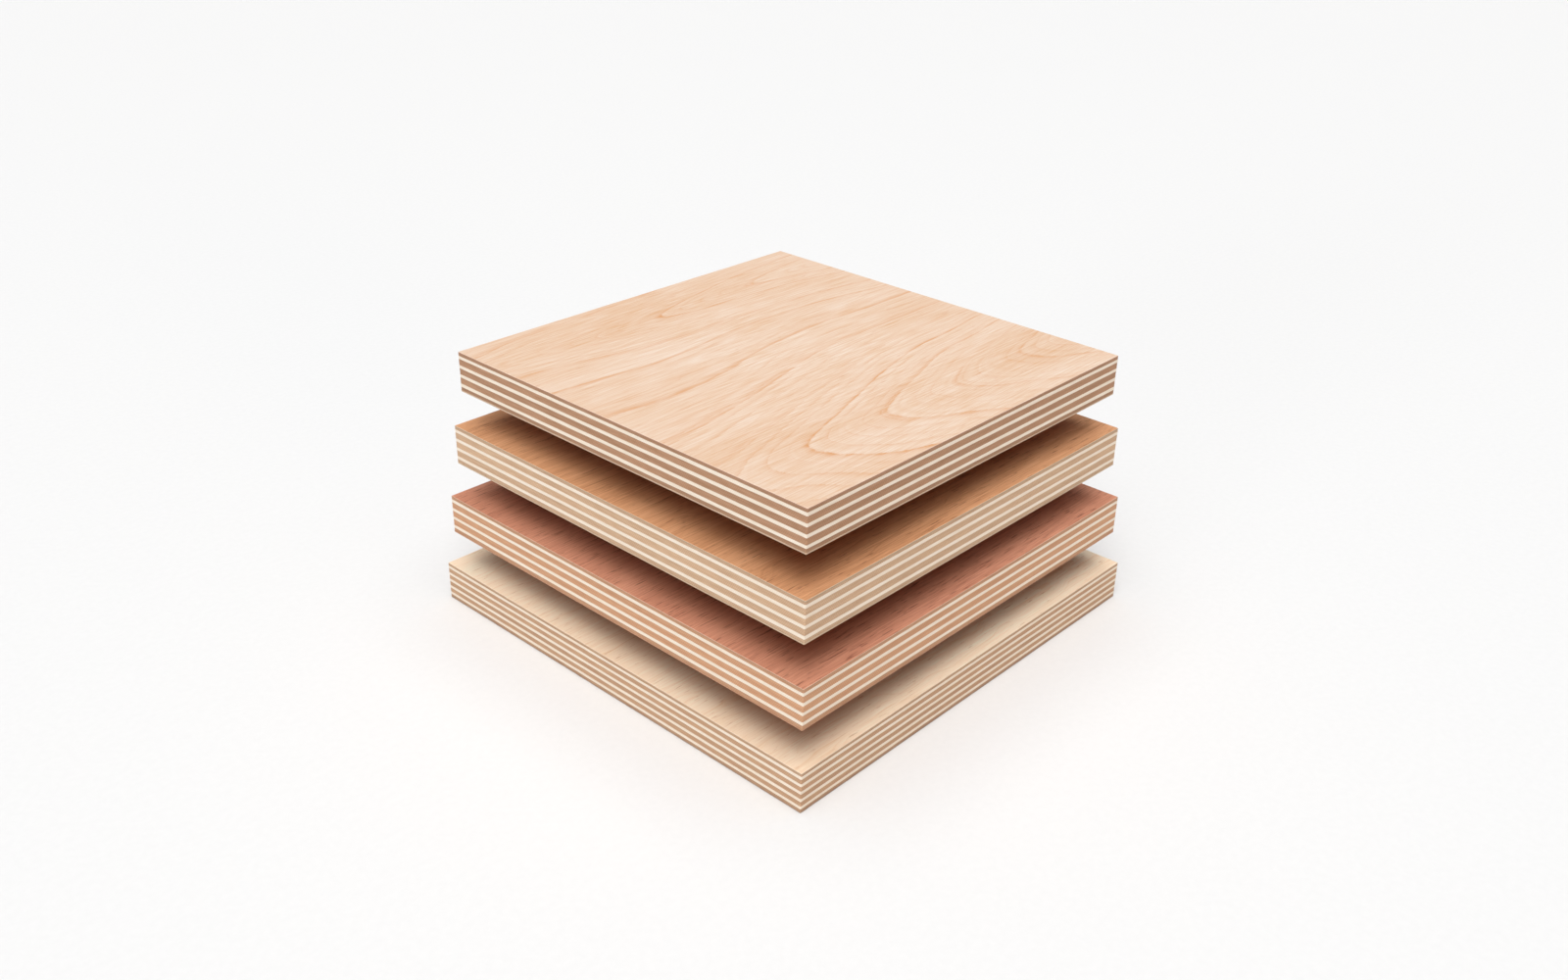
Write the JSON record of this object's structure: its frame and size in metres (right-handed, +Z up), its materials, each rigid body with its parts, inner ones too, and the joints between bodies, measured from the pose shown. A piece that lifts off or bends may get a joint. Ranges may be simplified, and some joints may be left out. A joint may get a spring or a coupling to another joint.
{
  "type": "stack of plywood sheets",
  "caption": "Square plywood sample sheets stacked flat with air gaps between them, showing veneered faces and striped ply edges.",
  "frame": {"origin": "centre of the stack's footprint, on the floor under the bottom sheet", "axes": "+Z up through the stack; +X along the face grain, parallel to the sheets' edges"},
  "size_m": [0.216, 0.216, 0.12],
  "materials": {
    "sheet_1_face": "pale pinkish cream softwood face veneer with a cathedral figure, sanded, unfinished",
    "sheet_2_face": "orange-brown hardwood face veneer with short dark pores, sanded, unfinished",
    "sheet_3_face": "reddish hardwood face veneer with short dark pores, sanded, unfinished",
    "sheet_4_face": "pale yellow-cream face veneer with sparse orange flecks, sanded, unfinished",
    "sheet_1_dark_ply": "brown core ply, sawn edge",
    "sheet_2_dark_ply": "tan core ply, sawn edge",
    "sheet_3_dark_ply": "reddish tan core ply, sawn edge",
    "sheet_4_dark_ply": "brown-tan core ply, sawn edge",
    "pale_ply": "cream core ply, sawn edge",
    "spacer": "plain planed softwood"
  },
  "bodies": {
    "root": {"sheet_1_face_veneer": "sheet_1_face", "sheet_1_ply_1": "sheet_1_dark_ply", "sheet_1_ply_2": "pale_ply", "sheet_1_ply_3": "sheet_1_dark_ply", "sheet_1_ply_4": "pale_ply", "sheet_1_ply_5": "sheet_1_dark_ply", "sheet_1_ply_6": "pale_ply", "sheet_1_ply_7": "sheet_1_dark_ply", "sheet_1_ply_8": "pale_ply", "sheet_1_ply_9": "sheet_1_dark_ply", "sheet_1_back_veneer": "sheet_1_face", "sheet_2_face_veneer": "sheet_2_face", "sheet_2_ply_1": "sheet_2_dark_ply", "sheet_2_ply_2": "pale_ply", "sheet_2_ply_3": "sheet_2_dark_ply", "sheet_2_ply_4": "pale_ply", "sheet_2_ply_5": "sheet_2_dark_ply", "sheet_2_ply_6": "pale_ply", "sheet_2_ply_7": "sheet_2_dark_ply", "sheet_2_ply_8": "pale_ply", "sheet_2_ply_9": "sheet_2_dark_ply", "sheet_2_back_veneer": "sheet_2_face", "sheet_3_face_veneer": "sheet_3_face", "sheet_3_ply_1": "sheet_3_dark_ply", "sheet_3_ply_2": "pale_ply", "sheet_3_ply_3": "sheet_3_dark_ply", "sheet_3_ply_4": "pale_ply", "sheet_3_ply_5": "sheet_3_dark_ply", "sheet_3_ply_6": "pale_ply", "sheet_3_ply_7": "sheet_3_dark_ply", "sheet_3_ply_8": "pale_ply", "sheet_3_ply_9": "sheet_3_dark_ply", "sheet_3_back_veneer": "sheet_3_face", "sheet_4_face_veneer": "sheet_4_face", "sheet_4_ply_1": "sheet_4_dark_ply", "sheet_4_ply_2": "pale_ply", "sheet_4_ply_3": "sheet_4_dark_ply", "sheet_4_ply_4": "pale_ply", "sheet_4_ply_5": "sheet_4_dark_ply", "sheet_4_ply_6": "pale_ply", "sheet_4_ply_7": "sheet_4_dark_ply", "sheet_4_ply_8": "pale_ply", "sheet_4_ply_9": "sheet_4_dark_ply", "sheet_4_ply_10": "pale_ply", "sheet_4_ply_11": "sheet_4_dark_ply", "sheet_4_back_veneer": "sheet_4_face", "spacer_1_left": "spacer", "spacer_1_right": "spacer", "spacer_2_left": "spacer", "spacer_2_right": "spacer", "spacer_3_left": "spacer", "spacer_3_right": "spacer"}
  },
  "joints": []
}
